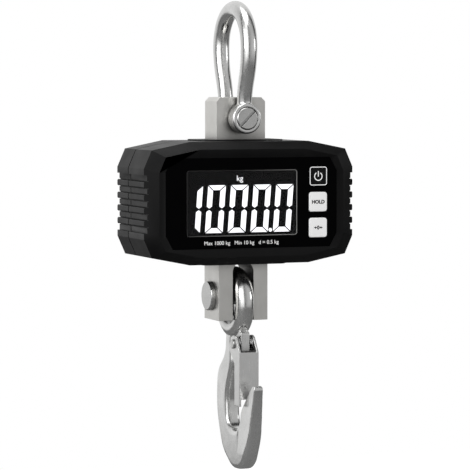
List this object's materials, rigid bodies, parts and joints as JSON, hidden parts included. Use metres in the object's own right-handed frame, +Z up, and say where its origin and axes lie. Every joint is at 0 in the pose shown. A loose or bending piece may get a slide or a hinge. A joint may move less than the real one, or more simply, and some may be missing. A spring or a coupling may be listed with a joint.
{
  "type": "digital crane scale",
  "caption": "Hanging crane scale: bow shackle, steel load cell block through a ribbed plastic housing with a large display and square keys, and an eye hook with a sprung safety latch.",
  "frame": {"origin": "where a crane hook bears inside the shackle's crown", "axes": "+Z up along the line of pull, +Y to the back, +X to the reader's right"},
  "size_m": [0.14, 0.0723, 0.2948],
  "materials": {
    "forged_steel": "polished forged steel with faint forging waves",
    "satin_steel": "fine ground satin",
    "pin_steel": "turned, bright",
    "latch_sheet": "pressed sheet, satin",
    "spring_steel": "drawn wire",
    "screw_steel": "plated",
    "insert_brass": "knurled",
    "shell_plastic": "fine spark-eroded grain",
    "seal_rubber": "smooth",
    "panel_gloss": "glossy film",
    "lens_tint": "tinted, clear",
    "display_dark": "negative display",
    "digit_white": "backlit",
    "frame_plastic": "moulded",
    "diffuser_white": "milky",
    "board_green": "solder mask",
    "chip_black": "moulded",
    "key_black": "silicone, printed outline",
    "key_white": "silicone, printed symbol",
    "gauge_foil": "polyimide film",
    "cover_aluminium": "plain",
    "lead_sheath": "sheath",
    "cell_wrap": "plain wrap",
    "contact_nickel": "nickel plate"
  },
  "bodies": {
    "shackle": {"shackle_bow": "forged_steel", "shackle_pin": "pin_steel", "shackle_washers": "pin_steel"},
    "housing": {"load_cell_block": "satin_steel", "hook_pin": "pin_steel", "hook_pin_screw": "screw_steel", "block_screws": "screw_steel", "shell_screws": "screw_steel", "board_screws": "screw_steel", "shell_inserts": "insert_brass", "front_shell": "shell_plastic", "rear_shell": "shell_plastic", "shell_gasket": "seal_rubber", "top_seal": "seal_rubber", "bottom_seal": "seal_rubber", "front_panel": "panel_gloss", "display_window": "lens_tint", "display_glass": "display_dark", "display_digits": "digit_white", "display_frame": "frame_plastic", "battery_tray": "frame_plastic", "buzzer": "frame_plastic", "tactile_switches": "frame_plastic", "backlight_diffuser": "diffuser_white", "main_board": "board_green", "board_chips": "chip_black", "strain_gauges": "gauge_foil", "gauge_covers": "cover_aluminium", "load_cell_lead": "lead_sheath", "battery_cells": "cell_wrap", "battery_contacts": "contact_nickel"},
    "hook": {"hook_body": "forged_steel", "latch_rivet": "pin_steel"},
    "latch": {"hook_latch": "latch_sheet", "latch_spring": "spring_steel"},
    "power_button": {"power_key": "key_black"},
    "hold_button": {"hold_key": "key_white"},
    "zero_button": {"zero_key": "key_white"},
    "battery_cover": {"battery_door": "shell_plastic", "door_seal": "seal_rubber", "door_screws": "screw_steel"}
  },
  "joints": [
    {"name": "scale_swing", "type": "hinge", "parent": "shackle", "child": "housing", "pos_m": [0, 0, -0.0633], "axis": [0, 1, 0], "range_deg": [-95, 95]},
    {"name": "hook_swing", "type": "hinge", "parent": "housing", "child": "hook", "pos_m": [0, 0, -0.1753], "axis": [1, 0, 0], "range_deg": [-60, 60]},
    {"name": "latch_open", "type": "hinge", "parent": "hook", "child": "latch", "pos_m": [0, -0.0141, -0.205], "axis": [1, 0, 0], "range_deg": [0, 28], "stiffness_Nm_per_rad": 0.12, "springref_deg": -22.92},
    {"name": "power_press", "type": "slide", "parent": "housing", "child": "power_button", "axis": [0, 1, 0], "range_m": [0, 0.0006], "stiffness_N_per_m": 1500},
    {"name": "hold_press", "type": "slide", "parent": "housing", "child": "hold_button", "axis": [0, 1, 0], "range_m": [0, 0.0006], "stiffness_N_per_m": 1500},
    {"name": "zero_press", "type": "slide", "parent": "housing", "child": "zero_button", "axis": [0, 1, 0], "range_m": [0, 0.0006], "stiffness_N_per_m": 1500},
    {"name": "battery_cover_lift", "type": "slide", "parent": "housing", "child": "battery_cover", "axis": [0, 1, 0], "range_m": [0, 0.04]}
  ]
}
